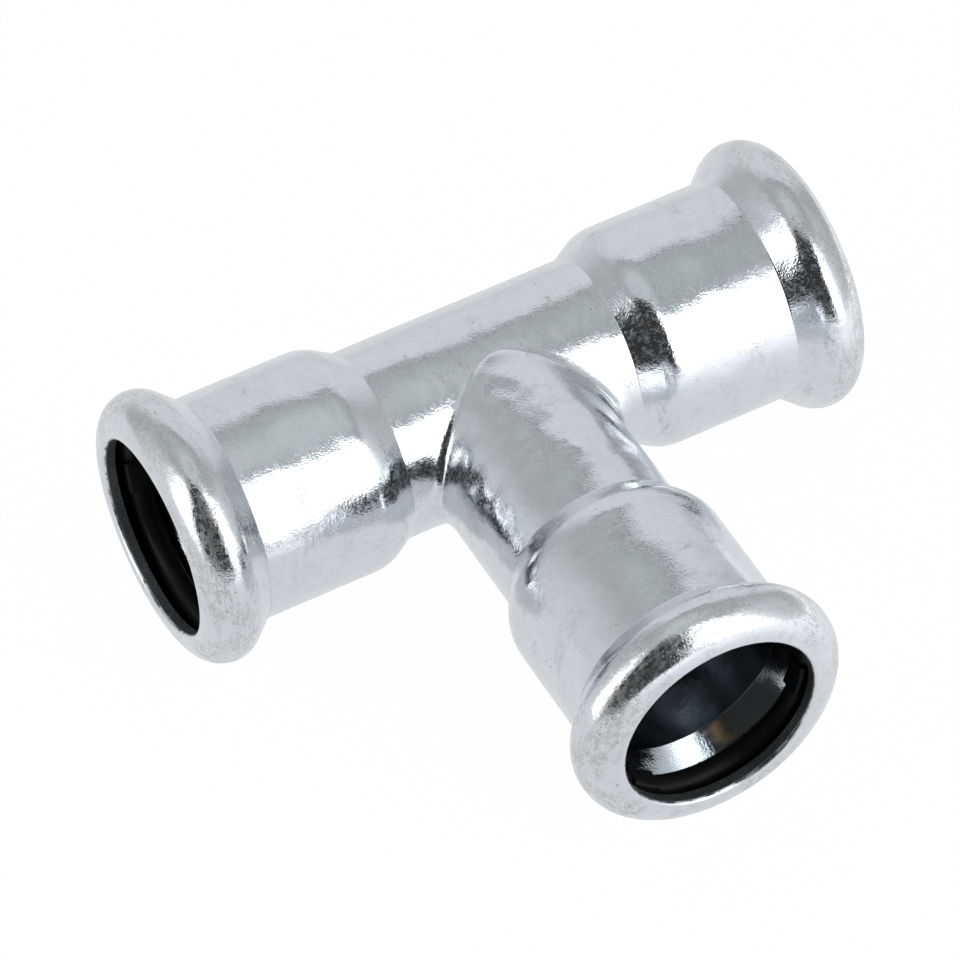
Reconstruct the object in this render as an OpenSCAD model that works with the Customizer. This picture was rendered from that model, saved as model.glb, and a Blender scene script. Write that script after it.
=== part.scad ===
// Press tee fitting: a tee of formed steel tube with three press sockets,
// each with a rubber seal ring lying in the bead behind its mouth.
// The run lies along X, the branch points along -Y, and the three beads rest on Z = 0.

/* [Tube] */
// Outside diameter of the run in the middle
neck_d = 22; // [20:0.1:24]
// How much less the branch measures across than the run
branch_step = 0.6; // [0.2:0.1:1.4]
// Thickness of the sheet, the same all over
wall = 1.5; // [1:0.05:1.8]
// Radius of the hollow where the branch leaves the run
crotch_round = 3; // [1.5:0.1:3.1]

/* [Length] */
// Length of the run, from mouth to mouth
run_len = 82; // [82:0.5:140]
// Length of the branch, from the axis of the run to its mouth
branch_len = 53.2; // [46:0.1:90]

/* [Press ends] */
// Outside diameter of the sockets
socket_d = 25.9; // [25:0.1:27]
// Depth of the straight part of a socket, from its mouth to the shoulder
socket_depth = 21.9; // [16:0.1:22]
// Outside diameter of the bead at a mouth
bead_d = 31.7; // [30:0.1:34]
// Outside radius of the bead's round section
bead_round = 3.6; // [3.2:0.05:4.2]
// Angle between the bead's conical flank and its socket
flank_slope = 42; // [35:1:55]
// Radius of the hollow between that flank and the socket
bead_fillet = 0.5; // [0.3:0.1:1]
// Diameter of the mouth inside its turned-in lip
mouth_d = 22.9; // [22.6:0.1:24]
// Radius of the rounded edge of the lip
lip_round = 0.5; // [0.2:0.05:0.7]
// Radius of the shoulder at the end of a socket
shoulder_round = 5.5; // [4:0.1:6.5]
// Angle between the shoulder's conical flank and the plain tube
shoulder_slope = 30; // [25:1:38]
// Radius of the hollow between that flank and the plain tube
shoulder_fillet = 0.3; // [0.2:0.1:0.8]

/* [Seals] */
// Gap between a seal and the wall of its groove
seal_fit = 0.1; // [0.05:0.05:0.3]
// Distance that the centre of a seal's section lies from the centre of the groove
seal_shift = 0.6; // [0.3:0.05:0.8]
// Direction of that shift, from straight outwards (0) to straight inwards along the socket (90)
seal_lean = 33; // [0:1:60]
// Number of lugs around a seal
lug_count = 3; // [2:1:6]
// Width of a lug around the ring, in degrees
lug_span = 20; // [10:1:30]
// Distance that a lug stands inside the ring
lug_rise = 0.15; // [0.05:0.05:0.3]
// Radius of the long edges of a lug
lug_edge = 0.45; // [0.2:0.05:0.6]
// Angle of the first lug of the left seal, from the front of the tee upwards
left_turn = 193; // [0:1:359]
// Angle of the first lug of the right seal, from the back of the tee upwards
right_turn = 40; // [0:1:359]
// Angle of the first lug of the branch seal, from its right side upwards
branch_turn = 228; // [0:1:359]

/* [Hidden] */
$fn = 96;

neck_r = neck_d / 2;
branch_r = (neck_d - branch_step) / 2;
socket_r = socket_d / 2;
mouth_r = mouth_d / 2;
bead_r = bead_d / 2;
run_half = run_len / 2;

// Place of the run's axis: the origin is under the middle of the whole fitting
axis_y = (branch_len - bead_r) / 2;
axis_z = bead_r;

// Centres of the arcs of a leg's section, as [radius, height above the mouth plane]
bead_centre = [bead_r - bead_round, -bead_round];
bead_hollow = hollow_below(bead_centre, bead_round, flank_slope, socket_r, bead_fillet);
shoulder_centre = [socket_r - shoulder_round, -socket_depth];

// The seal fills its groove but for the fit and the room in which it can shift
groove_r = bead_round - wall;
cord_r = groove_r - seal_fit - seal_shift;
seal_centre = bead_centre + seal_shift * [cos(seal_lean), -sin(seal_lean)];
lug_inner = seal_centre.x - cord_r - lug_rise;

// How far a cutting shape runs past the face that it opens
past = 1;
// The fillet at the branch: steps around, steps across, and how deep its edges and its back are sunk
fillet_steps = 44;
fillet_cross = 6;
fillet_sink = 0.03;
corner_sink = 0.6;

// Centre of a hollow that touches a tube of radius tube_r and the flank below a round about centre
function hollow_below(centre, radius, slope, tube_r, hollow) =
    let (across = tube_r + hollow - centre.x)
    [tube_r + hollow, centre.y - (radius + hollow - across * cos(slope)) / sin(slope)];

// Rectangle from the axis out to radius, between two heights
module band(radius, low, high) {
    translate([0, low]) square([radius, high - low]);
}

// A round of radius r1 about c1, and below it a flank down to a hollow of radius r2 about c2
module round_to_hollow(c1, r1, c2, r2, slope) {
    out = [cos(slope), -sin(slope)];
    intersection() {
        translate(c1) circle(r1);
        band(c1.x + r1, c2.y, c1.y + r1);
    }
    difference() {
        polygon([[0, c1.y], c1, c1 + r1 * out, c2 - r2 * out, c2, [0, c2.y]]);
        translate(c2) circle(r2);
    }
}

// Half section of a leg with its mouth at height 0 and its foot at -length, on a plain tube of radius tube_r.
// It is the space inside the surface that lies inset below the outer skin.
module leg_section(length, tube_r, inset) {
    foot = hollow_below(shoulder_centre, shoulder_round, shoulder_slope, tube_r, shoulder_fillet);
    band(bead_centre.x, bead_centre.y, -inset);
    round_to_hollow(bead_centre, bead_round - inset, bead_hollow, bead_fillet + inset, flank_slope);
    band(socket_r - inset, shoulder_centre.y, bead_centre.y);
    round_to_hollow(shoulder_centre, shoulder_round - inset, foot, shoulder_fillet + inset, shoulder_slope);
    band(tube_r - inset, -length, shoulder_centre.y);
}

// The hole through the lip, with the lip's edge rounded
module mouth_section() {
    band(mouth_r, bead_centre.y, past);
    difference() {
        band(mouth_r + lip_round, -lip_round, past);
        translate([mouth_r + lip_round, -lip_round]) circle(lip_round);
    }
}

// Places a leg's shape, made along Z with its mouth at height 0, on one of the three ends.
// The shape's own Y axis then points up.
module on_left() rotate([90, 0, -90]) translate([0, 0, run_half]) children();
module on_right() rotate([90, 0, 90]) translate([0, 0, run_half]) children();
module on_branch() rotate([90, 0, 0]) translate([0, 0, branch_len]) children();

// Points across the branch fillet at one angle around the branch:
// an arc from the run to the branch, then the sunk corner
function fillet_ring(run_r, tube_r, round, angle) =
    let (
        reach = run_r + round,
        side = (tube_r + round) * [cos(angle), sin(angle)],
        spine = [side.x, -sqrt(reach ^ 2 - side.y ^ 2), side.y],
        to_run = [0, -spine.y, -spine.z] / reach,
        to_branch = [-cos(angle), 0, -sin(angle)],
        turn = acos(to_run * to_branch),
        back = (tube_r - corner_sink) * [cos(angle), sin(angle)],
        corner = [back.x, -sqrt((run_r - corner_sink) ^ 2 - back.y ^ 2), back.y]
    )
    concat(
        [for (j = [0 : fillet_cross])
            let (a = turn * j / fillet_cross)
            spine + (round + fillet_sink) * (sin(turn - a) * to_run + sin(a) * to_branch) / sin(turn)],
        [corner]
    );

// The fillet between run and branch, as a closed ring around the branch
module fillet(run_r, tube_r, round) {
    n = fillet_cross + 2;
    rings = [for (i = [0 : fillet_steps - 1]) each fillet_ring(run_r, tube_r, round, 360 * i / fillet_steps)];
    faces = [for (i = [0 : fillet_steps - 1], j = [0 : n - 1])
        let (
            a = i * n + j,
            b = i * n + (j + 1) % n,
            c = (i + 1) % fillet_steps * n + (j + 1) % n,
            d = (i + 1) % fillet_steps * n + j
        )
        each [[a, b, c], [a, c, d]]];
    polyhedron(rings, faces);
}

// Everything inside the surface that lies inset below the outer skin
module skin(inset) {
    rotate([0, 90, 0]) rotate_extrude()
        for (end = [0, 1]) mirror([0, end]) translate([0, run_half]) leg_section(run_half, neck_r, inset);
    on_branch() rotate_extrude() leg_section(branch_len, branch_r, inset);
    fillet(neck_r - inset, branch_r - inset, crotch_round + inset);
}

module tee_body() {
    color("lightsteelblue") translate([0, axis_y, axis_z]) difference() {
        skin(0);
        skin(wall);
        on_left() rotate_extrude() mouth_section();
        on_right() rotate_extrude() mouth_section();
        on_branch() rotate_extrude() mouth_section();
    }
}

// Half section of a lug: a square block with rounded edges inside the seal's ring
module lug_section() {
    width = 2 * cord_r;
    depth = seal_centre.x - lug_inner;
    translate([lug_inner, seal_centre.y - cord_r]) {
        translate([0, lug_edge]) square([depth, width - 2 * lug_edge]);
        translate([lug_edge, 0]) square([depth - lug_edge, width]);
        for (edge = [lug_edge, width - lug_edge]) translate([lug_edge, edge]) circle(lug_edge);
    }
}

// A seal ring about Z, turned so that its first lug is at the angle first
module seal(first) {
    step = 360 / lug_count;
    rotate([0, 0, first - step / 2]) {
        rotate_extrude() translate(seal_centre) circle(cord_r);
        for (i = [0 : lug_count - 1])
            rotate([0, 0, (i + 0.5) * step - lug_span / 2]) rotate_extrude(angle = lug_span) lug_section();
    }
}

module seal_left() {
    color("black") translate([0, axis_y, axis_z]) on_left() seal(left_turn);
}

module seal_right() {
    color("black") translate([0, axis_y, axis_z]) on_right() seal(right_turn);
}

module seal_branch() {
    color("black") translate([0, axis_y, axis_z]) on_branch() seal(branch_turn);
}

tee_body();
seal_left();
seal_right();
seal_branch();
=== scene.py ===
"""Looks of a press tee fitting: a zinc-plated steel tee with three press sockets and their rubber seals.

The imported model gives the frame. The tee's skin is one closed mesh, built from the same sizes as
the part's source, and each seal ring is made with Geometry Nodes. All lengths are in metres.
"""

import math

import bpy
import numpy as np
from mathutils import Matrix, Vector


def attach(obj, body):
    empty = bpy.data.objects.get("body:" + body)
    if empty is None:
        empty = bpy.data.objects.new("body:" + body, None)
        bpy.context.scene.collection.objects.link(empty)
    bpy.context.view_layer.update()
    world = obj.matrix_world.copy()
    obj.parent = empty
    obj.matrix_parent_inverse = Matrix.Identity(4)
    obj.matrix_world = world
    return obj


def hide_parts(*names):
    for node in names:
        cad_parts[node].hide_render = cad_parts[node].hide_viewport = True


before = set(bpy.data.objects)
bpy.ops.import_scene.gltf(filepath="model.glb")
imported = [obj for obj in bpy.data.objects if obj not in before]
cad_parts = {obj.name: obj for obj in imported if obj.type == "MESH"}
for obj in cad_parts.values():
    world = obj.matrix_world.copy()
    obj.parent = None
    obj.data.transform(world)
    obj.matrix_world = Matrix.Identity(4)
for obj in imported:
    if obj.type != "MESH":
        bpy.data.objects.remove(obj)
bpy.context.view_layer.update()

bl_info = {
    "name": "Press Tee Fitting",
    "version": (1, 0, 0),
    "blender": (4, 5, 0),
    "location": "View3D > Sidebar > Press Tee",
    "description": "Builds the skin, the seals and the studio of a press tee fitting",
    "category": "Object",
}

BODY = "root"
FULL_TURN = 2 * math.pi


def length(name, default, description):
    return bpy.props.FloatProperty(
        name=name, description=description, default=default, min=0, precision=5, unit="LENGTH"
    )


def angle(name, default, description):
    return bpy.props.FloatProperty(
        name=name, description=description, default=math.radians(default), subtype="ANGLE"
    )


def count(name, default, description):
    return bpy.props.IntProperty(name=name, description=description, default=default, min=1)


def colour(name, default, description):
    return bpy.props.FloatVectorProperty(
        name=name, description=description, default=default, min=0, max=1, size=3, subtype="COLOR"
    )


class PressTeeBodySizes(bpy.types.PropertyGroup):
    """Sizes of the steel tee, as in the part's source."""

    neck_d: length("Run across", 0.022, "Outside diameter of the run in the middle")
    branch_wide: length("Branch width", 0.0217, "Outside width of the branch where it leaves the run")
    branch_high: length("Branch height", 0.0211, "Outside height of the branch where it leaves the run")
    wall: length("Wall", 0.0015, "Thickness of the sheet")
    crotch_round: length("Crotch round", 0.003, "Reach of the hollow where the branch leaves the run")
    crotch_sharpness: bpy.props.FloatProperty(
        name="Crotch sharpness",
        description="How much tighter than an arc the hollow is in its middle; 1 is an arc",
        default=2.2,
        min=0.5,
    )
    run_len: length("Run length", 0.082, "Length of the run from mouth to mouth")
    branch_len: length("Branch length", 0.0532, "Length of the branch from the run's axis to its mouth")
    socket_d: length("Socket across", 0.0259, "Outside diameter of the sockets")
    socket_depth: length("Socket depth", 0.0219, "Depth of a socket from its mouth to the shoulder")
    bead_d: length("Bead across", 0.0317, "Outside diameter of the bead at a mouth")
    bead_round: length("Bead round", 0.0036, "Outside radius of the bead's section")
    flank_slope: angle("Flank slope", 42, "Angle between the bead's conical flank and its socket")
    bead_fillet: length("Bead fillet", 0.0003, "Radius of the hollow between that flank and the socket")
    bore_start: length("Bore start", 0.0086, "Depth at which the straight bore of a socket begins")
    bore_edge: length("Bore edge", 0.0003, "Radius of the edge between the bore and the bead's groove")
    mouth_d: length("Mouth across", 0.0229, "Diameter of the mouth inside its turned-in lip")
    lip_round: length("Lip round", 0.0005, "Radius of the rounded edge of the lip")
    shoulder_round: length("Shoulder round", 0.0055, "Radius of the shoulder at the end of a socket")
    shoulder_slope: angle("Shoulder slope", 30, "Angle between the shoulder's conical flank and the tube")
    shoulder_fillet: length("Shoulder fillet", 0.0003, "Radius of the hollow between that flank and the tube")


class PressTeeSealSizes(bpy.types.PropertyGroup):
    """Sizes of the three rubber seals, as in the part's source."""

    ring_d: length("Ring across", 0.025506, "Diameter of the ring, to the middle of its cord")
    cord_r: length("Cord radius", 0.0014, "Radius of the ring's round section")
    ring_depth: length("Ring depth", 0.003927, "Distance of the ring's middle from the mouth")
    lug_count: count("Lugs", 3, "Number of lugs around a seal")
    lug_span: angle("Lug span", 20, "Width of a lug around the ring")
    lug_rise: length("Lug rise", 0.00015, "Distance that a lug stands inside the ring")
    lug_edge: length("Lug edge", 0.00045, "Radius of the long edges of a lug")
    left_turn: angle("Left turn", 193, "Angle of the left seal's first lug, from the front upwards")
    right_turn: angle("Right turn", 40, "Angle of the right seal's first lug, from the back upwards")
    branch_turn: angle("Branch turn", 228, "Angle of the branch seal's first lug, from the right upwards")


class PressTeeColours(bpy.types.PropertyGroup):
    """Colours of the finishes; the inside plating and the cut edge are darkened with painted shade."""

    zinc: colour("Zinc", (0.72, 0.74, 0.775), "Bright zinc plating")
    # Its colour is darker than the outer plating as painted shade of the sockets' insides; the plating there
    # is also duller
    shaded_zinc_inside: colour("Zinc inside", (0.43, 0.47, 0.50), "Duller plating inside the sockets")
    # Its colour is darkened as painted shade of the turned-in lip's face
    shaded_cut_edge: colour("Cut edge", (0.22, 0.24, 0.24), "Sheared face of the lip")
    burr: colour("Burr", (0.05, 0.035, 0.025), "Dark, brownish rim of the sheared face")
    stain: colour("Stain", (0.62, 0.40, 0.20), "Brown spot inside the branch")
    smudge: colour("Smudge", (0.40, 0.37, 0.33), "Brownish rub marks on the beads")
    rubber: colour("Rubber", (0.007, 0.007, 0.007), "Black seal rubber")
    floor: colour("Floor", (0.90, 0.90, 0.905), "Pale studio floor")


# Small helpers for node trees


def node(tree, kind, inputs=None, **settings):
    """A new node, with its settings, and its inputs set or linked."""
    made = tree.nodes.new(kind)
    for name, value in settings.items():
        setattr(made, name, value)
    for key, value in (inputs or {}).items():
        if isinstance(value, bpy.types.NodeSocket):
            tree.links.new(value, made.inputs[key])
        else:
            made.inputs[key].default_value = value
    return made


def calc(tree, operation, first, second):
    """The result of a Math node."""
    return node(tree, "ShaderNodeMath", {0: first, 1: second}, operation=operation).outputs[0]


def ramp(tree, value, low, high, out_low=0.0, out_high=1.0):
    """Value carried smoothly from the range low to high onto the range out_low to out_high."""
    made = node(
        tree,
        "ShaderNodeMapRange",
        {"Value": value, "From Min": low, "From Max": high, "To Min": out_low, "To Max": out_high},
        interpolation_type="SMOOTHSTEP",
    )
    return made.outputs["Result"]


def mix_colour(tree, factor, first, second):
    made = node(tree, "ShaderNodeMix", {0: factor, 6: first, 7: second}, data_type="RGBA")
    return made.outputs[2]


def mix_value(tree, factor, first, second):
    made = node(tree, "ShaderNodeMix", {0: factor, 2: first, 3: second}, data_type="FLOAT")
    return made.outputs[0]


def noise(tree, place, cell, detail=2.0, roughness=0.5):
    """Noise whose lumps are about cell metres across, from 0 to 1."""
    inputs = {"Vector": place, "Scale": 1 / cell, "Detail": detail, "Roughness": roughness}
    return node(tree, "ShaderNodeTexNoise", inputs).outputs["Fac"]


def stretched(tree, place, stretch):
    """Place scaled along each axis, for patterns that run one way."""
    return node(tree, "ShaderNodeMapping", {"Vector": place, "Scale": stretch}).outputs["Vector"]


def new_material(name):
    material = bpy.data.materials.new(name)
    material.use_nodes = True
    material.node_tree.nodes.clear()
    return material, material.node_tree


def attribute(tree, name, output="Fac"):
    return node(tree, "ShaderNodeAttribute", attribute_name=name).outputs[output]


def times(tree, first, second):
    return calc(tree, "MULTIPLY", first, second)


def relief_of(tree, height):
    """Normals of a surface with these heights in metres."""
    made = node(tree, "ShaderNodeBump", {"Strength": 1.0, "Distance": 1.0, "Height": height})
    return made.outputs["Normal"]


def opaque(rgb):
    return (*rgb, 1.0)


def shade_of(rgb, share):
    return opaque(min(1.0, c * share) for c in rgb)


# Finishes

# Marks on the plating: how often a pattern repeats in a metre, along a leg and across it
RUB_SCALE, STREAK_SCALE, DRAWN_SCALE = (450, 200, 200), (2800, 1100, 1100), (260, 8000, 8000)
# How much more the crowns of the beads are rubbed
CROWN_WEAR = 0.20
# Sizes of other marks, and how much of the light a fleck still mirrors
SPECK_CELL, FLECK_CELL, TONE_CELL, SWIRL_CELL, HAZE_CELL = 0.00028, 0.0007, 0.0017, 0.004, 0.00045
FLECK_MIRRORS = 0.82
CHIP_CELL, NICK_CELL = 0.00022, 0.0012
# Distance between pits, and the radius of the largest as a share of it
PIT_CELL, PIT_LARGEST = 0.0018, 0.08
# The brown spot inside the branch: its place about the crossing of the axes, its reach and its ragged edge
STAIN_PLACE = (0.0043, -0.0458, -0.0115)
STAIN_REACH, STAIN_CELL = 0.0021, 0.0015
# Relief: sizes of the lumps and their heights
GRAIN_CELL, GRAIN_HEIGHT, GRAIN_HEIGHT_INSIDE = 0.00024, 0.000018, 0.000010
RIPPLE_CELL, RIPPLE_HEIGHT = 0.0024, 0.00006
SWELL_CELL, SWELL_HEIGHT = 0.0075, 0.00040
DENT_CELL, DENT_HEIGHT = 0.0030, 0.00024
DRAWN_HEIGHT, PIT_DEPTH = 0.000005, 0.000012
# The rubber's grease and its moulded texture
GREASE_CELL, RUBBER_CELL, RUBBER_HEIGHT = 0.0015, 0.0004, 0.000012
# Marks that the tee's mesh carries for its finish, each from 0 to 1
MARKS = ("crown", "inside", "lip", "formed")
# The groove under a seal is marked as less far inside than the bore behind it, and is smoother
GROOVE_MARK = 0.8


def rub_marks(tree, place, leg, crown):
    """Masks of thin films and dull specks, mostly on the crowns of the beads, and of sparse pits."""
    cloud = noise(tree, stretched(tree, leg, RUB_SCALE), 1.0, 3.0, 0.6)
    worn = calc(tree, "ADD", cloud, times(tree, crown, CROWN_WEAR))
    streaks = noise(tree, stretched(tree, leg, STREAK_SCALE), 1.0, 3.0, 0.7)
    film = times(tree, ramp(tree, worn, 0.50, 0.80), ramp(tree, streaks, 0.38, 0.62))
    dots = ramp(tree, noise(tree, place, SPECK_CELL, 2.0, 0.6), 0.58, 0.72)
    speck = times(tree, dots, ramp(tree, worn, 0.58, 0.72))
    cells = node(tree, "ShaderNodeTexVoronoi", {"Vector": place, "Scale": 1 / PIT_CELL})
    size = node(tree, "ShaderNodeSeparateColor", {"Color": cells.outputs["Color"]}).outputs[0]
    radius = ramp(tree, size, 0.55, 1.0, 0.0, PIT_LARGEST)
    return film, speck, calc(tree, "LESS_THAN", cells.outputs["Distance"], radius)


def stain_mask(tree, place, crossing):
    """Mask of the brown spot inside the branch."""
    spot = Vector(STAIN_PLACE) + crossing
    away = node(tree, "ShaderNodeVectorMath", {0: place, 1: spot}, operation="DISTANCE").outputs["Value"]
    ragged = ramp(tree, noise(tree, place, STAIN_CELL, 0.0), 0.3, 0.7, 0.0, STAIN_REACH)
    return ramp(tree, calc(tree, "ADD", away, ragged), 1.2 * STAIN_REACH, 0.2 * STAIN_REACH)


def lip_colour(tree, colours, place, lip, base):
    """The colour base, with the sheared face of the lip, darkened as painted shade, and the nicks along its
    rim.
    """
    chips = ramp(tree, noise(tree, place, CHIP_CELL, 3.0), 0.35, 0.65)
    # The sheared face's colour, darkened as painted shade, with random chips
    cut = mix_colour(tree, chips, shade_of(colours.shaded_cut_edge, 0.7), shade_of(colours.shaded_cut_edge, 1.2))
    base = mix_colour(tree, ramp(tree, lip, 0.85, 1.0), base, cut)
    rim = times(tree, ramp(tree, lip, 0.5, 0.7), ramp(tree, lip, 0.95, 0.75))
    nicks = ramp(tree, noise(tree, place, NICK_CELL, 2.0), 0.45, 0.65)
    return mix_colour(tree, times(tree, rim, nicks), base, opaque(colours.burr))


def plating_relief(tree, place, leg, inside, formed, hollows):
    """Normals of the plated sheet: grain, ripples, swells, dents from forming, drawn lines and hollows."""
    grain_height = mix_value(tree, inside, GRAIN_HEIGHT, GRAIN_HEIGHT_INSIDE)
    dents = times(tree, noise(tree, place, DENT_CELL, 0.0), formed)
    drawn = noise(tree, stretched(tree, leg, DRAWN_SCALE), 1.0, 1.0)
    height = times(tree, noise(tree, place, GRAIN_CELL, 1.0), grain_height)
    for pattern, rise in (
        (noise(tree, place, RIPPLE_CELL, 1.0), RIPPLE_HEIGHT),
        (noise(tree, place, SWELL_CELL, 0.0), SWELL_HEIGHT),
        (dents, DENT_HEIGHT),
        (drawn, DRAWN_HEIGHT),
        (hollows, -PIT_DEPTH),
    ):
        height = calc(tree, "ADD", height, times(tree, pattern, rise))
    return relief_of(tree, height)


def zinc_material(colours, crossing):
    """Bright zinc plating: mirror-like, with grain, dents, hairlines, flecks, pits, rub marks, a stain, and
    painted shade inside the sockets and on the lip's cut face.
    """
    material, tree = new_material("zinc_plating")
    place = node(tree, "ShaderNodeTexCoord").outputs["Object"]
    leg = attribute(tree, "leg_place", "Vector")
    crown, inside, lip, formed = [attribute(tree, mark) for mark in MARKS]
    film, speck, pit = rub_marks(tree, place, leg, crown)
    stain = stain_mask(tree, place, crossing)

    # Dull flecks on the outside don't mirror, and so show pale where the plating mirrors something dark
    fleck = calc(tree, "MAXIMUM", film, ramp(tree, noise(tree, place, FLECK_CELL, 3.0, 0.65), 0.48, 0.68))
    mirrored = ramp(tree, calc(tree, "SUBTRACT", fleck, inside), 0.0, 1.0, 1.0, FLECK_MIRRORS)

    # Colour: clean outside, darker inside as painted shade, then the marks
    tone = noise(tree, place, TONE_CELL, 4.0, 0.6)
    clean = mix_colour(tree, tone, shade_of(colours.zinc, 0.92), shade_of(colours.zinc, 1.07))
    swirl = noise(tree, place, SWIRL_CELL, 2.0)
    # Darker colour inside the sockets and grooves: painted shade, with a random swirl of tone
    shaded_inside_colour = mix_colour(tree, swirl, shade_of(colours.shaded_zinc_inside, 0.6), shade_of(colours.shaded_zinc_inside, 1.4))
    base = mix_colour(tree, ramp(tree, inside, 0.0, GROOVE_MARK), clean, shaded_inside_colour)
    for mask, strength, shade in ((film, 0.42, 1.0), (speck, 0.5, 0.45), (pit, 0.7, 0.5)):
        base = mix_colour(tree, times(tree, mask, strength), base, shade_of(colours.smudge, shade))
    base = lip_colour(tree, colours, place, lip, base)
    base = mix_colour(tree, stain, base, opaque(colours.stain))

    # Roughness: clear plating with a cloudy haze, duller where it is stained, rubbed or cut
    haze = ramp(tree, noise(tree, place, HAZE_CELL, 3.0, 0.6), 0.44, 0.70, 0.08, 0.26)
    sheen = mix_value(tree, inside, haze, ramp(tree, inside, GROOVE_MARK, 1.0, 0.08, 0.16))
    for mask, roughness in ((stain, 0.28), (calc(tree, "MAXIMUM", film, speck), 0.30), (lip, 0.45)):
        sheen = mix_value(tree, mask, sheen, roughness)

    relief = plating_relief(tree, place, leg, inside, formed, calc(tree, "ADD", pit, speck))
    shader = node(
        tree,
        "ShaderNodeBsdfPrincipled",
        {"Base Color": base, "Metallic": mirrored, "Roughness": sheen, "Normal": relief},
    )
    node(tree, "ShaderNodeOutputMaterial", {"Surface": shader.outputs["BSDF"]})
    return material


def rubber_material(colours):
    """Smooth black rubber with a greasy shine and a trace of moulding texture."""
    material, tree = new_material("seal_rubber")
    place = node(tree, "ShaderNodeTexCoord").outputs["Object"]
    grease = noise(tree, place, GREASE_CELL, 3.0)
    tint = mix_colour(tree, grease, opaque(colours.rubber), shade_of(colours.rubber, 1.8))
    shine = ramp(tree, grease, 0.3, 0.7, 0.30, 0.42)
    relief = relief_of(tree, times(tree, noise(tree, place, RUBBER_CELL, 2.0), RUBBER_HEIGHT))
    shader = node(
        tree,
        "ShaderNodeBsdfPrincipled",
        {"Base Color": tint, "Roughness": shine, "Specular IOR Level": 0.12, "Normal": relief},
    )
    node(tree, "ShaderNodeOutputMaterial", {"Surface": shader.outputs["BSDF"]})
    return material


# The steel tee

# Points nearer than this are one point
MERGE_DISTANCE = 1e-7
# Columns of the mesh around the branch, and around the back of the run
BRANCH_COLUMNS, BACK_COLUMNS = 160, 92
# Rows of the mesh along the run beside the crotch, across the crotch and along the branch's neck
RUN_ROWS, FILLET_ROWS, NECK_ROWS = 8, 44, 14
# Steps of the mesh along a leg's section
LINE_STEP, ARC_STEP = 0.0009, math.radians(7)
# How far the crown's middle is turned from where the bead is widest, towards its mouth
CROWN_TURN = math.radians(25)


class Shell:
    """Grids of points with their normals and marks, joined into one closed mesh."""

    def __init__(self):
        self.points, self.normals, self.faces, self.marks = [], [], [], []
        self.total = 0

    def grid(self, points, normals, leg, crown=0.0, inside=0.0, lip=0.0, formed=0.0):
        """Adds a grid of points, rows by columns, as quads that face along the normals."""
        rows, columns = points.shape[:2]
        index = self.total + np.arange(rows * columns).reshape(rows, columns)
        quads = np.stack([index[:-1, :-1], index[:-1, 1:], index[1:, 1:], index[1:, :-1]], -1).reshape(-1, 4)
        flat, facing = points.reshape(-1, 3), normals.reshape(-1, 3)
        corners = flat[quads - self.total]
        across = np.cross(corners[:, 2] - corners[:, 0], corners[:, 3] - corners[:, 1])
        wrong = (across * facing[quads - self.total].sum(1)).sum(1) < 0
        quads[wrong] = quads[wrong][:, ::-1]
        full = np.ones((rows, columns))
        marks = [mark * full for mark in (crown, inside, lip, formed)]
        marks = np.stack([*np.moveaxis(leg, -1, 0), *marks], -1)
        self.points.append(flat)
        self.normals.append(facing)
        self.faces.append(quads)
        self.marks.append(marks.reshape(flat.shape[0], -1))
        self.total += rows * columns

    def mesh(self, name, origin):
        """The closed mesh, moved to origin, with points that coincide merged and its own normals kept."""
        points, normals = np.vstack(self.points), np.vstack(self.normals)
        faces, marks = np.vstack(self.faces), np.vstack(self.marks)
        _, first, same = np.unique(
            np.round(points / MERGE_DISTANCE).astype(np.int64), axis=0, return_index=True, return_inverse=True
        )
        joined = same.reshape(-1)[faces]
        mesh = bpy.data.meshes.new(name)
        mesh.from_pydata((points[first] + origin).tolist(), [], joined.tolist())
        mesh.polygons.foreach_set("use_smooth", np.ones(len(joined), bool))
        corner_normals = normals[faces].reshape(-1, 3)
        corner_normals /= np.linalg.norm(corner_normals, axis=1, keepdims=True)
        mesh.normals_split_custom_set(corner_normals.tolist())
        place = mesh.attributes.new("leg_place", "FLOAT_VECTOR", "POINT")
        place.data.foreach_set("vector", marks[first, :3].astype(np.float32).reshape(-1))
        for column, mark in enumerate(MARKS, 3):
            layer = mesh.attributes.new(mark, "FLOAT", "POINT")
            layer.data.foreach_set("value", marks[first, column].astype(np.float32))
        edges = np.sort(np.stack([joined, np.roll(joined, -1, 1)], -1).reshape(-1, 2), 1)
        _, uses = np.unique(edges, axis=0, return_counts=True)
        loose = np.count_nonzero(uses != 2)
        if loose:
            raise RuntimeError(f"{name} isn't closed: {loose} edges don't join two faces")
        return mesh


def eased(values, low, high):
    """0 at low and before it, 1 at high and past it, and a soft change between them."""
    share = np.clip((values - low) / (high - low), 0, 1)
    return share**2 * (3 - 2 * share)


def unit(vectors):
    return vectors / np.linalg.norm(vectors, axis=-1, keepdims=True)


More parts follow.
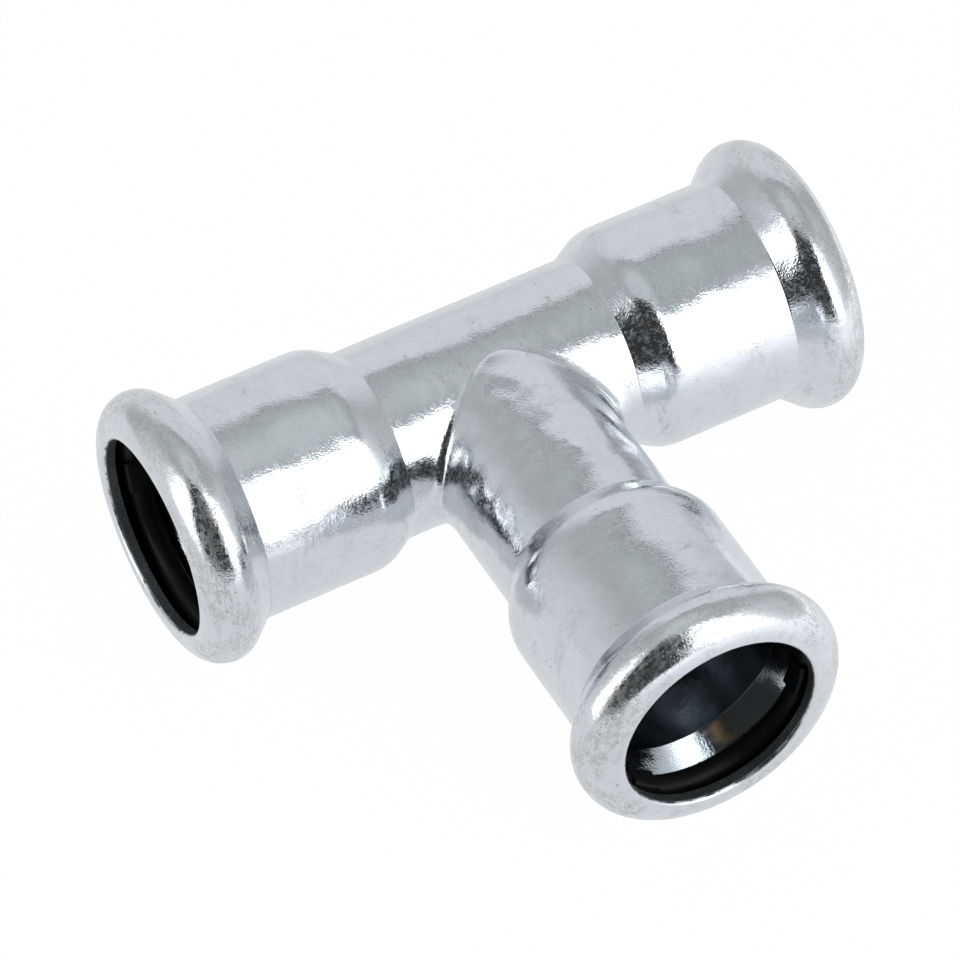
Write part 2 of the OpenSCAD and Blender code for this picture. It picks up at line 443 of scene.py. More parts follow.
class LegSection:
    """Half section of a leg, as stretches of [radius, depth below the mouth] with their normals."""

    def __init__(self, s, tube_r):
        self.socket_r, mouth_r = s.socket_d / 2, s.mouth_d / 2
        bead = np.array([s.bead_d / 2 - s.bead_round, s.bead_round])
        bead_hollow = self.hollow(bead, s.bead_round, s.flank_slope, self.socket_r, s.bead_fillet)
        shoulder = np.array([self.socket_r - s.shoulder_round, s.socket_depth])
        neck_hollow = self.hollow(shoulder, s.shoulder_round, s.shoulder_slope, tube_r, s.shoulder_fillet)
        lip = np.array([mouth_r + s.lip_round, s.lip_round])
        self.neck_depth = neck_hollow[1]
        wall = s.wall
        inner_socket, groove_r = self.socket_r - wall, s.bead_round - wall
        inner_round, inner_fillet = s.shoulder_round - wall, s.shoulder_fillet + wall
        to_bore = np.array([inner_socket, s.bore_start]) - bead
        bore_slope = math.atan2(to_bore[1], to_bore[0]) - math.acos(groove_r / np.linalg.norm(to_bore))
        edge = np.array([inner_socket + s.bore_edge, s.bore_start + s.bore_edge * math.tan(bore_slope / 2)])
        half, quarter = math.pi, math.pi / 2
        self.stretches = []

        self.arc(neck_hollow, s.shoulder_fillet, half, half + s.shoulder_slope, -1)
        self.flank(neck_hollow, -s.shoulder_fillet, shoulder, s.shoulder_round, s.shoulder_slope, 1)
        self.arc(shoulder, s.shoulder_round, s.shoulder_slope, 0, 1)
        self.line((self.socket_r, s.socket_depth), (self.socket_r, bead_hollow[1]), (1, 0))
        self.arc(bead_hollow, s.bead_fillet, half, half + s.flank_slope, -1)
        self.flank(bead_hollow, -s.bead_fillet, bead, s.bead_round, s.flank_slope, 1)
        self.arc(bead, s.bead_round, s.flank_slope, -quarter, 1, crowned=True)
        self.line((bead[0], 0), (lip[0], 0), (0, -1))
        self.arc(lip, s.lip_round, -quarter, -half, 1, lipped=True)
        self.line((mouth_r, s.lip_round), (mouth_r, wall), (-1, 0), lip=1)
        self.line((mouth_r, wall), (bead[0], wall), (0, 1), inside=1)
        self.arc(bead, groove_r, -quarter, bore_slope, -1, inside=GROOVE_MARK)
        self.flank(bead, groove_r, edge, -s.bore_edge, bore_slope, -1, inside=GROOVE_MARK)
        self.arc(edge, s.bore_edge, half + bore_slope, half, 1, inside=1)
        self.line((inner_socket, edge[1]), (inner_socket, s.socket_depth), (-1, 0), inside=1)
        self.arc(shoulder, inner_round, 0, s.shoulder_slope, -1, inside=1)
        self.flank(shoulder, inner_round, neck_hollow, -inner_fillet, s.shoulder_slope, -1, inside=1)
        self.arc(neck_hollow, inner_fillet, half + s.shoulder_slope, half, 1, inside=1)

    @staticmethod
    def hollow(centre, radius, slope, tube_r, fillet):
        """Centre of the hollow that touches a tube and the flank below a round."""
        across = tube_r + fillet - centre[0]
        down = (radius + fillet - across * math.cos(slope)) / math.sin(slope)
        return centre + (across, down)

    def flank(self, first, first_r, second, second_r, slope, side, inside=0):
        """Straight flank between two rounds; a negative radius means the flank is on a round's far side."""
        out = np.array([math.cos(slope), math.sin(slope)])
        self.line(first + first_r * out, second + second_r * out, side * out, inside)

    def line(self, start, end, normal, inside=0, lip=0):
        start, end = np.array(start), np.array(end)
        steps = max(1, math.ceil(np.linalg.norm(end - start) / LINE_STEP))
        share = np.linspace(0, 1, steps + 1)[:, None]
        points = start + (end - start) * share
        self.stretches.append((points, np.tile(normal, (steps + 1, 1)), 0 * share, inside, lip + 0 * share))

    def arc(self, centre, radius, start, end, side, inside=0, crowned=False, lipped=False):
        steps = max(4, math.ceil(abs(end - start) / ARC_STEP))
        turn = np.linspace(start, end, steps + 1)
        ray = np.stack([np.cos(turn), np.sin(turn)], -1)
        crown = crowned * np.clip(np.cos(turn + CROWN_TURN), 0, 1)[:, None]
        lip = lipped * np.linspace(0, 1, steps + 1)[:, None]
        self.stretches.append((centre + radius * ray, side * ray, crown, inside, lip))


class TeeSkin:
    """Builds the tee's outer and inner skin about the crossing of its axes."""

    def __init__(self, s):
        self.s, self.shell = s, Shell()
        self.run_r = s.neck_d / 2
        self.wide, self.high = s.branch_wide / 2, s.branch_high / 2
        self.branch_r = (self.wide + self.high) / 2
        self.run_leg = LegSection(s, self.run_r)
        self.branch_leg = LegSection(s, self.branch_r)
        self.run_end = s.run_len / 2 - self.run_leg.neck_depth
        self.branch_end = s.branch_len - self.branch_leg.neck_depth
        self.half_turn = np.linspace(-math.pi / 2, math.pi / 2, BRANCH_COLUMNS // 2 + 1)

    def build(self):
        for inset in (0, self.s.wall):
            self.crossing(inset)
        self.run_legs()
        self.branch()
        return self.shell

    def spine(self, turn, inset):
        """Centres of the ball that rolls along the crotch, and the ways from them to run and branch."""
        cos, sin = np.cos(turn), np.sin(turn)
        wide, high = self.wide - inset, self.high - inset
        ball = self.s.crotch_round + inset
        out = unit(np.stack([cos / wide, sin / high], -1))
        x, z = wide * cos + ball * out[:, 0], high * sin + ball * out[:, 1]
        reach = self.run_r + self.s.crotch_round
        y = -np.sqrt(reach**2 - z**2)
        to_run = np.stack([0 * x, -y, -z], -1) / reach
        to_branch = np.stack([-out[:, 0], 0 * x, -out[:, 1]], -1)
        return np.stack([x, y, z], -1), to_run, to_branch, ball

    def around_run(self, turn, inset):
        """Angle around the run, from its front upwards, at which the crotch meets it."""
        centre, to_run, _, ball = self.spine(turn, inset)
        foot = centre + ball * to_run
        return np.arctan2(foot[:, 2], -foot[:, 1])

    def run_angles(self):
        """Angles of the columns around the run: those of the crotch in front, even ones behind."""
        front = self.around_run(self.half_turn, 0)
        back = np.linspace(front[-1], FULL_TURN + front[0], BACK_COLUMNS + 1)
        return front, back

    def run_place(self, x, angles, radius):
        x, angles = np.broadcast_arrays(x, angles)
        return np.stack([x, -radius * np.cos(angles), radius * np.sin(angles)], -1)

    def run_mark(self, points):
        """Place along and across a leg of the run, for patterns that follow the tube."""
        return np.stack([self.s.run_len / 2 - np.abs(points[..., 0]), points[..., 1], points[..., 2]], -1)

    def branch_mark(self, points):
        return np.stack([self.s.branch_len + points[..., 1], points[..., 0], points[..., 2]], -1)

    def crossing(self, inset):
        """The middle of the tee: the run around the crotch, its back, the crotch and the branch's neck."""
        side, inside = (-1, 1.0) if inset else (1, 0.0)
        front, back = self.run_angles()
        radius = self.run_r - inset
        share = np.linspace(0, 1, RUN_ROWS + 1)[:, None]

        for hand in (-1, 1):
            centre, to_run, _, ball = self.spine(self.half_turn, inset)
            foot = centre + ball * to_run
            inner_angle = np.arctan2(foot[:, 2], -foot[:, 1])
            x = hand * (self.run_end + (foot[:, 0] - self.run_end) * share)
            angles = front + (inner_angle - front) * share
            points = self.run_place(x, angles, radius)
            normals = side * self.run_place(0 * x, angles, 1.0)
            self.shell.grid(points, normals, self.run_mark(points), inside=inside)

        # The straight back of the run takes over the columns' ends from the two fronts
        ends = self.around_run(self.half_turn[[0, -1]], inset)
        shift = (ends[1] - front[-1]) * (1 - 2 * np.linspace(0, 1, BACK_COLUMNS + 1))
        from_left = np.concatenate([share, share[-2::-1]])
        x = np.concatenate([-self.run_end * (1 - share), self.run_end * (1 - share[-2::-1])])
        angles = back + shift * from_left
        points = self.run_place(x, angles, radius)
        normals = side * self.run_place(0 * x, angles, 1.0)
        self.shell.grid(points, normals, self.run_mark(points), inside=inside)

        # Crotch and neck go all round the branch
        turn = np.linspace(0, FULL_TURN, BRANCH_COLUMNS + 1) - math.pi / 2
        centre, to_run, to_branch, ball = self.spine(turn, inset)
        bend = np.arccos(np.clip((to_run * to_branch).sum(-1), -1, 1))
        share = np.linspace(0, 1, FILLET_ROWS + 1)[:, None]
        # Its section is a conic that touches run and branch, from the ball's centre along the two ways
        pull = 2 * self.s.crotch_sharpness * np.cos(bend / 2)
        corner = 1 / (1 + np.cos(bend))
        weight = np.stack([(1 - share) ** 2 + 0 * bend, pull * share * (1 - share), share**2 + 0 * bend])
        change = np.stack([2 * share - 2 + 0 * bend, pull * (1 - 2 * share), 2 * share + 0 * bend])
        total, total_change = weight.sum(0), change.sum(0)
        way, tangent = 0, 0
        for i, end in ((0, to_run), (2, to_branch)):
            part = (weight[i] + corner * weight[1]) / total
            slide = (change[i] + corner * change[1] - part * total_change) / total
            way = way + part[..., None] * end
            tangent = tangent + slide[..., None] * end
        points = centre + ball * way
        lean = (way * tangent).sum(-1, keepdims=True) / (tangent**2).sum(-1, keepdims=True)
        facing = unit(way - lean * tangent)
        # The forming lines of the crotch run along it
        across = ball * bend * share
        leg = np.stack([np.broadcast_to(centre[:, 1], across.shape), across, 0 * across], -1)
        self.shell.grid(points, -side * facing, leg, inside=inside, formed=eased(share, 0.2, 1.0))

        share = np.linspace(0, 1, NECK_ROWS + 1)[:, None]
        top = centre + ball * to_branch
        y = top[:, 1] + (-self.branch_end - top[:, 1]) * share
        points = np.stack([np.broadcast_to(top[:, 0], y.shape), y, np.broadcast_to(top[:, 2], y.shape)], -1)
        normals = np.broadcast_to(-side * to_branch, points.shape)
        formed = eased(share, 1.0, 0.7)
        self.shell.grid(points, normals, self.branch_mark(points), inside=inside, formed=formed)

    def run_legs(self):
        front, back = self.run_angles()
        angles = np.concatenate([front, back[1:]])
        cos, sin = np.cos(angles), np.sin(angles)
        for hand in (-1, 1):
            for section, normal, crown, inside, lip in self.run_leg.stretches:
                r, depth = section[:, :1], section[:, 1:]
                x = hand * (self.s.run_len / 2 - depth) + 0 * cos
                points = np.stack([x, -r * cos, r * sin], -1)
                out, down = normal[:, :1], normal[:, 1:]
                normals = np.stack([-hand * down + 0 * cos, -out * cos, out * sin], -1)
                self.shell.grid(points, normals, self.run_mark(points), crown, inside, lip)

    def branch(self):
        turn = np.linspace(0, FULL_TURN, BRANCH_COLUMNS + 1) - math.pi / 2
        cos, sin = np.cos(turn), np.sin(turn)
        for section, normal, crown, inside, lip in self.branch_leg.stretches:
            r, depth = section[:, :1], section[:, 1:]
            # The branch is a little oval at its neck and round from the socket on
            skin_r, socket_r = r + (self.s.wall if inside else 0), self.branch_leg.socket_r
            oval = np.clip((socket_r - skin_r) / (socket_r - self.branch_r), 0, 1)
            oval = np.where(depth >= self.s.socket_depth, oval, 0)
            wide, high = r + (self.wide - self.branch_r) * oval, r + (self.high - self.branch_r) * oval
            points = np.stack([wide * cos, -(self.s.branch_len - depth) + 0 * cos, high * sin], -1)
            out, down = normal[:, :1], normal[:, 1:]
            around = unit(np.stack([cos / wide, sin / high], -1))
            normals = np.stack([out * around[..., 0], down + 0 * cos, out * around[..., 1]], -1)
            self.shell.grid(points, normals, self.branch_mark(points), crown, inside, lip)


def axis_crossing(s):
    """Place of the crossing of the tee's axes: the frame's origin is under the middle of its box."""
    return np.array([0, (s.branch_len - s.bead_d / 2) / 2, s.bead_d / 2])


def add_piece(name, mesh, slot, *nodes):
    """Puts a finished mesh into the scene as a piece that stands for CAD nodes."""
    piece = bpy.data.objects.new(name, mesh)
    bpy.context.scene.collection.objects.link(piece)
    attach(piece, BODY)
    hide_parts(*nodes)
    return piece


class PRESSTEE_OT_body(bpy.types.Operator):
    """Builds the tee's steel skin, outside and inside"""

    bl_idname = "press_tee.body"
    bl_label = "Steel Tee"

    def execute(self, context):
        sizes = context.scene.press_tee_body
        crossing = axis_crossing(sizes)
        mesh = TeeSkin(sizes).build().mesh("tee_skin", crossing)
        mesh.materials.append(zinc_material(context.scene.press_tee_colours, Vector(crossing)))
        add_piece("tee_skin", mesh, "zinc_steel", "tee_body")
        return {"FINISHED"}


# The seals

# Steps of the mesh around the ring, around its cord, along a lug and around a lug's edge
RING_STEPS, CORD_STEPS, LUG_STEPS, EDGE_STEPS = 180, 36, 24, 5
# Edges that turn more than this stay sharp
SHARP_ANGLE = math.radians(35)


def seal_tree(material):
    """Geometry Nodes for a seal ring about Z: a round cord with square lugs on its inner side."""
    tree = bpy.data.node_groups.new("seal_ring", "GeometryNodeTree")
    face = tree.interface
    face.new_socket("Geometry", in_out="OUTPUT", socket_type="NodeSocketGeometry")
    for name, kind in (
        ("Ring Radius", "Float"),
        ("Cord Radius", "Float"),
        ("Lug Count", "Int"),
        ("Lug Span", "Float"),
        ("Lug Rise", "Float"),
        ("Lug Edge", "Float"),
        ("First Turn", "Float"),
    ):
        face.new_socket(name, in_out="INPUT", socket_type=f"NodeSocket{kind}")
    given = node(tree, "NodeGroupInput").outputs

    path, section = (
        node(tree, "GeometryNodeCurvePrimitiveCircle", {"Resolution": steps, "Radius": given[radius]})
        for steps, radius in ((RING_STEPS, "Ring Radius"), (CORD_STEPS, "Cord Radius"))
    )
    cord = node(
        tree,
        "GeometryNodeCurveToMesh",
        {"Curve": path.outputs["Curve"], "Profile Curve": section.outputs["Curve"]},
    )

    # A lug is an arc of a square bar with rounded edges, as wide as the cord and a little further in
    width = times(tree, given["Cord Radius"], 2.0)
    depth = calc(tree, "ADD", given["Cord Radius"], given["Lug Rise"])
    inset = times(tree, depth, 0.5)
    bar_radius = calc(tree, "SUBTRACT", given["Ring Radius"], inset)
    lug_path = node(
        tree,
        "GeometryNodeCurveArc",
        {
            "Resolution": LUG_STEPS,
            "Radius": bar_radius,
            "Start Angle": times(tree, given["Lug Span"], -0.5),
            "Sweep Angle": given["Lug Span"],
        },
    )
    square = node(tree, "GeometryNodeCurvePrimitiveQuadrilateral", {"Width": depth, "Height": width})
    rounded = node(
        tree,
        "GeometryNodeFilletCurve",
        {"Curve": square.outputs["Curve"], "Count": EDGE_STEPS, "Radius": given["Lug Edge"]},
        mode="POLY",
    )
    lug = node(
        tree,
        "GeometryNodeCurveToMesh",
        {"Curve": lug_path.outputs["Curve"], "Profile Curve": rounded.outputs["Curve"], "Fill Caps": True},
    )
    spots = node(tree, "GeometryNodePoints", {"Count": given["Lug Count"]})
    number = node(tree, "GeometryNodeInputIndex").outputs["Index"]
    step = calc(tree, "DIVIDE", FULL_TURN, given["Lug Count"])
    turn = calc(tree, "ADD", times(tree, number, step), given["First Turn"])
    rotation = node(tree, "ShaderNodeCombineXYZ", {"Z": turn})
    lugs = node(
        tree,
        "GeometryNodeInstanceOnPoints",
        {
            "Points": spots.outputs["Points"],
            "Instance": lug.outputs["Mesh"],
            "Rotation": rotation.outputs["Vector"],
        },
    )
    solid_lugs = node(tree, "GeometryNodeRealizeInstances", {"Geometry": lugs.outputs["Instances"]})
    union = node(tree, "GeometryNodeMeshBoolean", operation="UNION", solver="EXACT")
    tree.links.new(cord.outputs["Mesh"], union.inputs["Mesh 2"])
    tree.links.new(solid_lugs.outputs["Geometry"], union.inputs["Mesh 2"])
    sharp = node(tree, "GeometryNodeInputMeshEdgeAngle").outputs["Unsigned Angle"]
    soft = node(
        tree,
        "GeometryNodeSetShadeSmooth",
        {"Geometry": union.outputs["Mesh"], "Shade Smooth": calc(tree, "LESS_THAN", sharp, SHARP_ANGLE)},
        domain="EDGE",
    )
    real = node(tree, "GeometryNodeRealizeInstances", {"Geometry": soft.outputs["Geometry"]})
    dressed = node(
        tree, "GeometryNodeSetMaterial", {"Geometry": real.outputs["Geometry"], "Material": material}
    )
    node(tree, "NodeGroupOutput", {"Geometry": dressed.outputs["Geometry"]})
    return tree


def seal_mesh(name, tree, values, placing):
    """The plain mesh of one seal, made by the tree with these values and moved to its socket."""
    carrier = bpy.data.objects.new(name + "_carrier", bpy.data.meshes.new(name + "_carrier"))
    bpy.context.scene.collection.objects.link(carrier)
    modifier = carrier.modifiers.new("seal_ring", "NODES")
    modifier.node_group = tree
    for socket in tree.interface.items_tree:
        if socket.in_out == "INPUT":
            modifier[socket.identifier] = values[socket.name]
    shaped = carrier.evaluated_get(bpy.context.evaluated_depsgraph_get())
    mesh = bpy.data.meshes.new_from_object(shaped)
    mesh.name = name
    bpy.data.objects.remove(carrier)
    mesh.transform(placing)
    if len(mesh.polygons) == 0:
        raise RuntimeError(f"{name} came out empty")
    return mesh


def placing_of(along, up, mouth, depth):
    """Puts a ring made about Z, with +Z out of the mouth and +Y up, into the socket with that mouth."""
    along, up = Vector(along), Vector(up)
    turn = Matrix((up.cross(along), up, along)).transposed().to_4x4()
    return Matrix.Translation(Vector(mouth) - along * depth) @ turn


class PRESSTEE_OT_seals(bpy.types.Operator):
    """Builds the three rubber seal rings in the beads"""

    bl_idname = "press_tee.seals"
    bl_label = "Rubber Seals"

    def execute(self, context):
        s, body = context.scene.press_tee_seals, context.scene.press_tee_body
        tree = seal_tree(rubber_material(context.scene.press_tee_colours))
        crossing = Vector(axis_crossing(body))
        ends = (
            ("left", (-1, 0, 0), body.run_len / 2, s.left_turn),
            ("right", (1, 0, 0), body.run_len / 2, s.right_turn),
            ("branch", (0, -1, 0), body.branch_len, s.branch_turn),
        )
        for end, along, reach, turn in ends:
            values = {
                "Ring Radius": s.ring_d / 2,
                "Cord Radius": s.cord_r,
                "Lug Count": s.lug_count,
                "Lug Span": s.lug_span,
                "Lug Rise": s.lug_rise,
                "Lug Edge": s.lug_edge,
                "First Turn": turn,
            }
            placing = placing_of(along, (0, 0, 1), crossing + Vector(along) * reach, s.ring_depth)
            mesh = seal_mesh(f"seal_ring_{end}", tree, values, placing)
            add_piece(f"seal_ring_{end}", mesh, "seal_rubber", f"seal_{end}")
        return {"FINISHED"}


# The studio

# Camera of the photograph: angles in degrees, and lengths about the crossing of the tee's axes
VIEW_AZIMUTH, VIEW_ELEVATION, VIEW_ROLL = -26.694, 48.968, 2.284
VIEW_TARGET = (-0.005881, -0.010337, 0.0)
VIEW_DISTANCE = 0.768369
VIEW_LENS, SENSOR = 264.1, 36.0

# Heights outside the walls, for those that are even from top to bottom
LOW, HIGH = -1.0, 9.0
# Walls of the light tent, which the tee mirrors and the camera doesn't see, once around:
# longitude (0 in front of the branch, 90 on the right), distance from the crossing of the axes, light,
# the height up to which the wall is dim, and the height from which it takes on the roof's light
TENT_WALLS = (
    (-170, 0.235, 0.72, LOW, 0.24),
    (-160, 0.220, 0.56, LOW, 0.15),
    (-140, 0.220, 0.56, LOW, 0.06),
    (-128, 0.220, 0.67, LOW, 0.06),
    (-110, 0.230, 0.80, LOW, 0.06),
    (-102, 0.240, 1.00, LOW, 0.15),
    (-98, 0.240, 2.60, LOW, 0.23),
    (-76, 0.250, 2.60, LOW, 0.23),
    (-73, 0.250, 0.05, LOW, HIGH),
    (-70, 0.600, 0.045, LOW, HIGH),
    (4, 0.600, 0.045, LOW, HIGH),
    (9, 0.600, 2.60, 0.09, HIGH),
    (13, 0.560, 2.60, 0.09, HIGH),
    (20, 0.500, 2.60, LOW, HIGH),
    (34, 0.350, 2.60, LOW, HIGH),
    (42, 0.250, 1.10, LOW, HIGH),
    (52, 0.220, 0.80, LOW, 0.23),
    (75, 0.200, 0.65, LOW, 0.23),
    (100, 0.210, 0.54, LOW, 0.23),
    (110, 0.230, 0.57, LOW, 0.23),
    (118, 0.225, 0.79, 0.03, 0.24),
    (130, 0.210, 0.83, 0.03, 0.24),
    (160, 0.195, 0.83, 0.03, 0.24),
    (186, 0.225, 0.80, 0.03, 0.24),
    (190, 0.235, 0.72, 0.03, 0.24),
)
WALL_TINT, ROOF_TINT = (0.95, 0.985, 1.0), (0.95, 1.02, 1.02)
WALL_HEIGHTS = (-0.02, 0.03, 0.06, 0.09, 0.12, 0.16, 0.20, 0.23, 0.26, 0.29, 0.32, 1.6)
# Light of a wall's dim foot, and how far below and above its height the change reaches
DIM_LIGHT, DIM_BELOW, DIM_ABOVE = 0.75, 0.06, 0.03
# Height at which a wall has taken on the roof's light
FADE_TO = 0.32
ROOF_HEIGHT = 0.278
# The roof's front edge faces this longitude, at this distance
ROOF_FACING, ROOF_FRONT = -33, 0.085
ROOF_HALF, ROOF_STEPS = 0.36, 30
ROOF_LIGHT = 0.50
# Over the tee the roof is brighter by this share, about a point this far to the left, between two distances
ROOF_GAIN, ROOF_GAIN_LEFT, ROOF_GAIN_REACH = 0.36, 0.02, (0.15, 0.07)
# The dark seam at the top of the back wall: first longitude, heights, light, and share of the wall's distance
SEAM_START, SEAM_HEIGHTS, SEAM_LIGHT, SEAM_SHARE = 105, (0.247, 0.278), 0.28, 0.97
WHITE = (1.0, 1.0, 1.0, 1.0)
FLOOR_HALF = 4.0
FLOOR_DROP = 0.00005
FLOOR_GLOW = 0.985
FLOOR_MIRRORED = (0.81, 0.835, 0.85)
# Way to the right lamp on the floor, and the stretch over which the mirrored floor gains light towards it
LAMP_WAY, LAMP_STRETCH, LAMP_GAIN = (0.8, -0.6, 0.0), (0.02, 0.11), 1.5
# Strength of the air's light on what neither the camera nor a mirror sees
AIR_LIGHT = 0.6


def glowing_sheet(name, points, light, tint):
    """A grid of points, rows by columns, that gives off light of a strength of its own at each point."""
    rows, columns = light.shape
    index = np.arange(rows * columns).reshape(rows, columns)
    quads = np.stack([index[:-1, :-1], index[1:, :-1], index[1:, 1:], index[:-1, 1:]], -1).reshape(-1, 4)
    mesh = bpy.data.meshes.new(name)
    mesh.from_pydata(points.reshape(-1, 3).tolist(), [], quads.tolist())
    layer = mesh.attributes.new("light", "FLOAT", "POINT")
    layer.data.foreach_set("value", light.astype(np.float32).reshape(-1))
    material, tree = new_material(name)
    # The light comes from all around, so it is found without sampling each sheet as a lamp
    material.cycles.emission_sampling = "NONE"
    glow = node(tree, "ShaderNodeEmission", {"Color": opaque(tint), "Strength": attribute(tree, "light")})
    node(tree, "ShaderNodeOutputMaterial", {"Surface": glow.outputs["Emission"]})
    mesh.materials.append(material)
    sheet = bpy.data.objects.new(name, mesh)
    bpy.context.scene.collection.objects.link(sheet)
    sheet.visible_camera = False
    sheet.visible_shadow = False


def studio_tent(crossing):
    """A small light tent: walls with a lamp behind each front corner, and a roof, open towards the camera."""
    lon, distance, light, dim_to, fade_from = np.array(TENT_WALLS).T
    turn, height = np.radians(lon), np.array(WALL_HEIGHTS)[:, None]
    plan = distance * np.sin(turn), -distance * np.cos(turn)
    points = np.stack([plan[0] + 0 * height, plan[1] + 0 * height, height + 0 * lon], -1)
    light = DIM_LIGHT + (light - DIM_LIGHT) * eased(height, dim_to - DIM_BELOW, dim_to + DIM_ABOVE)
    light = light + (ROOF_LIGHT - light) * eased(height, fade_from, np.maximum(FADE_TO, fade_from + 0.01))
    glowing_sheet("tent_walls", points + crossing, light, WALL_TINT)

    back = lon > SEAM_START
    height = np.array(SEAM_HEIGHTS)[:, None]
    points = np.stack([*(SEAM_SHARE * way[back] + 0 * height for way in plan), height + 0 * lon[back]], -1)
    glowing_sheet("tent_seam", points + crossing, np.full(points.shape[:2], SEAM_LIGHT), ROOF_TINT)

    # The roof is brighter over the tee, most on the left
    facing = math.radians(ROOF_FACING)
    u, v = np.meshgrid(*(np.linspace(-ROOF_HALF, end, ROOF_STEPS + 1) for end in (ROOF_HALF, ROOF_FRONT)))
    x = u * math.cos(facing) + v * math.sin(facing)
    y = u * math.sin(facing) - v * math.cos(facing)
    points = np.stack([x, y, np.full_like(x, ROOF_HEIGHT)], -1)
    light = ROOF_LIGHT * (1 + ROOF_GAIN * eased(np.hypot(x + ROOF_GAIN_LEFT, y), *ROOF_GAIN_REACH))
    glowing_sheet("tent_roof", points + crossing, light, ROOF_TINT)


def seen_rays(tree):
    """1 for rays from the camera and for mirrored or passed-on ones, else 0, and the camera's alone."""
    rays = node(tree, "ShaderNodeLightPath").outputs
    other = calc(tree, "MAXIMUM", rays["Is Glossy Ray"], rays["Is Transmission Ray"])
    return calc(tree, "MAXIMUM", rays["Is Camera Ray"], other), rays["Is Camera Ray"]


def studio_floor(rgb):
    """A pale floor that looks white to the camera but keeps a soft shadow."""
    h = FLOOR_HALF
    mesh = bpy.data.meshes.new("studio_floor")
    corners = [(-h, -h, -FLOOR_DROP), (h, -h, -FLOOR_DROP), (h, h, -FLOOR_DROP), (-h, h, -FLOOR_DROP)]
    mesh.from_pydata(corners, [], [(0, 1, 2, 3)])
    material, tree = new_material("studio_floor")
    material.cycles.emission_sampling = "NONE"
    seen, camera = seen_rays(tree)
    paint = node(tree, "ShaderNodeBsdfDiffuse", {"Color": opaque(rgb)})
    # Mirrored, the floor grows brighter towards the right lamp
    ground = node(tree, "ShaderNodeTexCoord").outputs["Object"]
    along = node(tree, "ShaderNodeVectorMath", {0: ground, 1: LAMP_WAY}, operation="DOT_PRODUCT")
    lit = ramp(tree, along.outputs["Value"], *LAMP_STRETCH, 1.0, LAMP_GAIN)
    lit = mix_value(tree, camera, lit, 1.0)
    white = node(
        tree,
        "ShaderNodeEmission",
        {"Color": mix_colour(tree, camera, opaque(FLOOR_MIRRORED), WHITE), "Strength": lit},
    )
    blend = node(
        tree,
        "ShaderNodeMixShader",
        {0: times(tree, seen, FLOOR_GLOW), 1: paint.outputs["BSDF"], 2: white.outputs["Emission"]},
    )
    node(tree, "ShaderNodeOutputMaterial", {"Surface": blend.outputs["Shader"]})
    mesh.materials.append(material)
    floor = bpy.data.objects.new("studio_floor", mesh)
    bpy.context.scene.collection.objects.link(floor)


def studio_world():
    """White where the camera and mirrors see it, and a plain soft light elsewhere."""
    world = bpy.data.worlds.new("studio")
    bpy.context.scene.world = world
    world.cycles.sampling_method = "NONE"
    world.use_nodes = True
    tree = world.node_tree
    tree.nodes.clear()
    seen, _ = seen_rays(tree)
    air = node(tree, "ShaderNodeBackground", {"Strength": mix_value(tree, seen, AIR_LIGHT, 1.0)})
    node(tree, "ShaderNodeOutputWorld", {"Surface": air.outputs["Background"]})


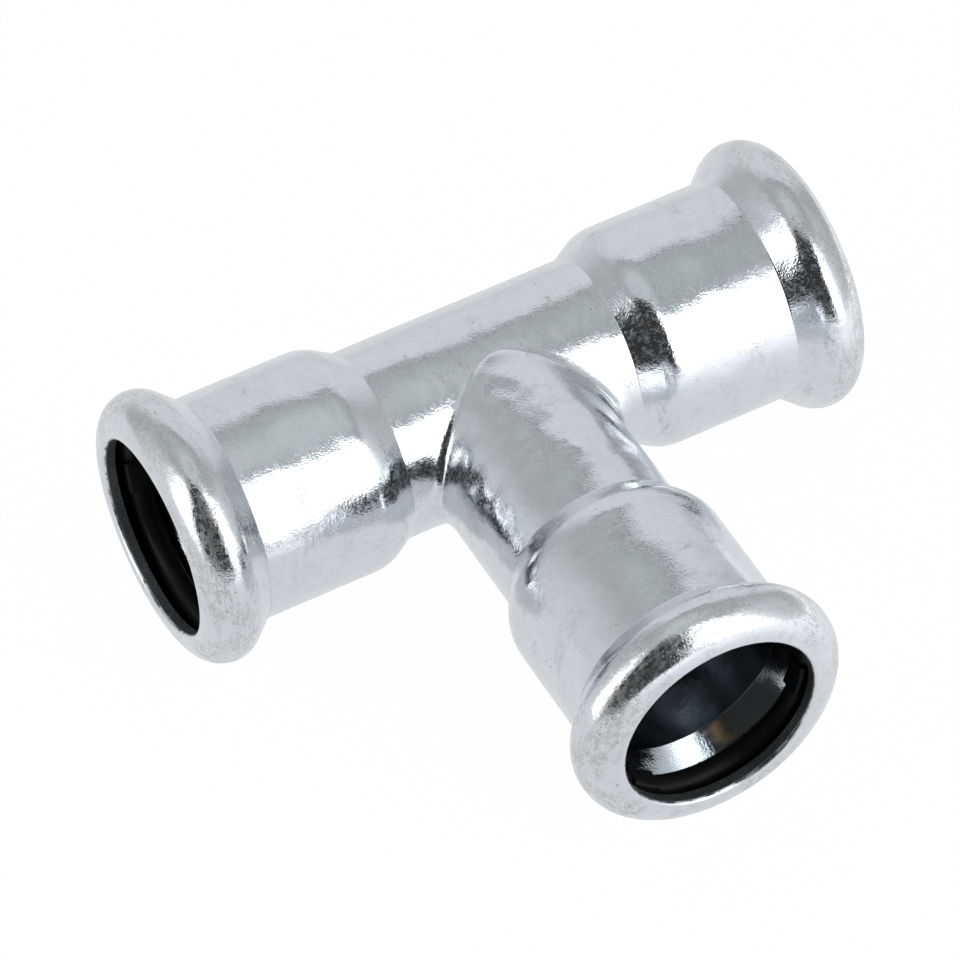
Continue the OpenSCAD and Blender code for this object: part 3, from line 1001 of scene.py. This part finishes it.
def studio_camera(crossing):
    """The camera of the photograph."""
    azimuth, elevation = math.radians(VIEW_AZIMUTH), math.radians(VIEW_ELEVATION)
    level = math.cos(elevation)
    ahead = Vector((-math.sin(azimuth) * level, math.cos(azimuth) * level, -math.sin(elevation)))
    right = Vector((math.cos(azimuth), math.sin(azimuth), 0))
    turn = Matrix((right, right.cross(ahead), -ahead)).transposed() @ Matrix.Rotation(
        -math.radians(VIEW_ROLL), 3, "Z"
    )
    data = bpy.data.cameras.new("photo_camera")
    data.lens, data.sensor_width, data.sensor_fit = VIEW_LENS, SENSOR, "HORIZONTAL"
    data.clip_start, data.clip_end = 0.01, 50
    camera = bpy.data.objects.new("photo_camera", data)
    bpy.context.scene.collection.objects.link(camera)
    place = crossing + Vector(VIEW_TARGET) - ahead * VIEW_DISTANCE
    camera.matrix_world = Matrix.Translation(place) @ turn.to_4x4()
    bpy.context.scene.camera = camera


class PRESSTEE_OT_studio(bpy.types.Operator):
    """Sets up the floor, the light tent and the photograph's camera"""

    bl_idname = "press_tee.studio"
    bl_label = "Studio"

    def execute(self, context):
        studio_floor(context.scene.press_tee_colours.floor)
        crossing = axis_crossing(context.scene.press_tee_body)
        studio_tent(crossing)
        studio_world()
        studio_camera(Vector(crossing))
        context.scene.view_settings.view_transform = "Standard"
        return {"FINISHED"}


OPERATORS = (PRESSTEE_OT_body, PRESSTEE_OT_seals, PRESSTEE_OT_studio)
GROUPS = {
    "press_tee_body": PressTeeBodySizes,
    "press_tee_seals": PressTeeSealSizes,
    "press_tee_colours": PressTeeColours,
}


class PRESSTEE_PT_panel(bpy.types.Panel):
    """Sizes, colours and buttons of the press tee fitting"""

    bl_idname = "PRESSTEE_PT_panel"
    bl_label = "Press Tee Fitting"
    bl_space_type = "VIEW_3D"
    bl_region_type = "UI"
    bl_category = "Press Tee"

    def draw(self, context):
        for key in GROUPS:
            group = getattr(context.scene, key)
            box = self.layout.box()
            for name in group.__annotations__:
                box.prop(group, name)
        for operator in OPERATORS:
            self.layout.operator(operator.bl_idname)


def register():
    for cls in (*GROUPS.values(), *OPERATORS, PRESSTEE_PT_panel):
        bpy.utils.register_class(cls)
    for key, group in GROUPS.items():
        setattr(bpy.types.Scene, key, bpy.props.PointerProperty(type=group))


def unregister():
    for key in GROUPS:
        delattr(bpy.types.Scene, key)
    for cls in reversed((*GROUPS.values(), *OPERATORS, PRESSTEE_PT_panel)):
        bpy.utils.unregister_class(cls)


def main():
    register()
    bpy.ops.press_tee.body()
    bpy.ops.press_tee.seals()
    bpy.ops.press_tee.studio()


if __name__ == "__main__":
    main()
